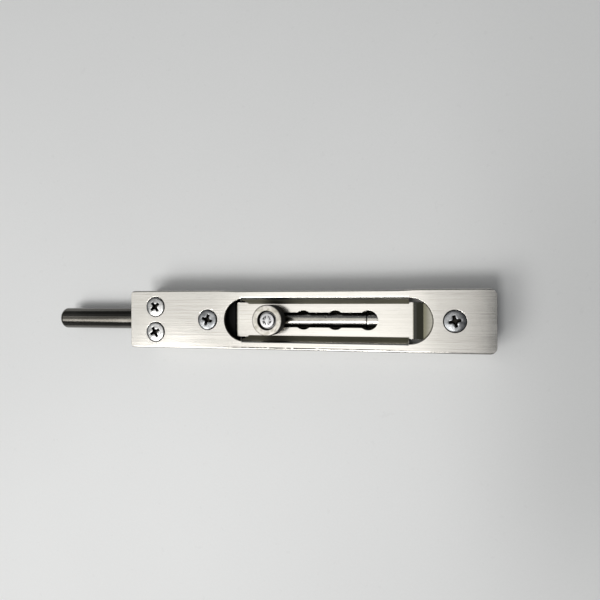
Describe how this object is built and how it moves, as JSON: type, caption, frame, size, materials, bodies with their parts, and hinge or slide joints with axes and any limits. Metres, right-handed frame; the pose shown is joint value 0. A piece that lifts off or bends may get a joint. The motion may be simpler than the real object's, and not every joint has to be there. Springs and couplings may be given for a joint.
{
  "type": "flush bolt",
  "caption": "Flush door bolt: folded steel case with a finger opening, a round bolt and a pull-up knob that locks in a notched slot.",
  "frame": {"origin": "on the bolt's axis, where it leaves the head end of the case", "axes": "+X along the case away from the bolt's free end, +Z out of the faceplate, +Y across the faceplate"},
  "size_m": [0.196, 0.025, 0.022],
  "materials": {
    "brushed_case": "lengthwise brushed stainless steel",
    "satin_plate": "fine satin stainless steel",
    "bolt_steel": "drawn round bar, greyer, with lengthwise streaks",
    "turned_steel": "fine turned satin",
    "bright_screw": "bright cold-headed stainless steel",
    "grey_screw": "duller stainless steel",
    "zinc_casting": "matt die casting",
    "brass": "turned brass",
    "black_nylon": "moulded, matt black",
    "spring_steel": "drawn spring steel"
  },
  "bodies": {
    "case": {"face_channel": "brushed_case", "slot_plate": "satin_plate", "back_cover": "brushed_case", "head_block": "zinc_casting", "head_bush": "brass", "middle_guide": "black_nylon", "tail_guide": "black_nylon", "square_nuts": "grey_screw", "head_screws": "bright_screw", "guide_screw": "grey_screw", "tail_screw": "grey_screw", "cover_screws": "grey_screw", "leaf_spring": "spring_steel", "leaf_rivets": "grey_screw"},
    "bolt": {"bolt_rod": "bolt_steel", "bolt_tail_piece": "bolt_steel", "knob_pin": "bright_screw", "pin_washer": "spring_steel", "knob_spring": "spring_steel"},
    "knob": {"knob_collar": "turned_steel", "locking_bush": "turned_steel"}
  },
  "joints": [
    {"name": "bolt_slide", "type": "slide", "parent": "case", "child": "bolt", "axis": [1, 0, 0], "range_m": [0, 0.0405]},
    {"name": "knob_lift", "type": "slide", "parent": "bolt", "child": "knob", "axis": [0, 0, 1], "range_m": [-0.0018, 0], "stiffness_N_per_m": 300, "springref_m": -0.006, "deforming": ["knob_spring"]}
  ]
}
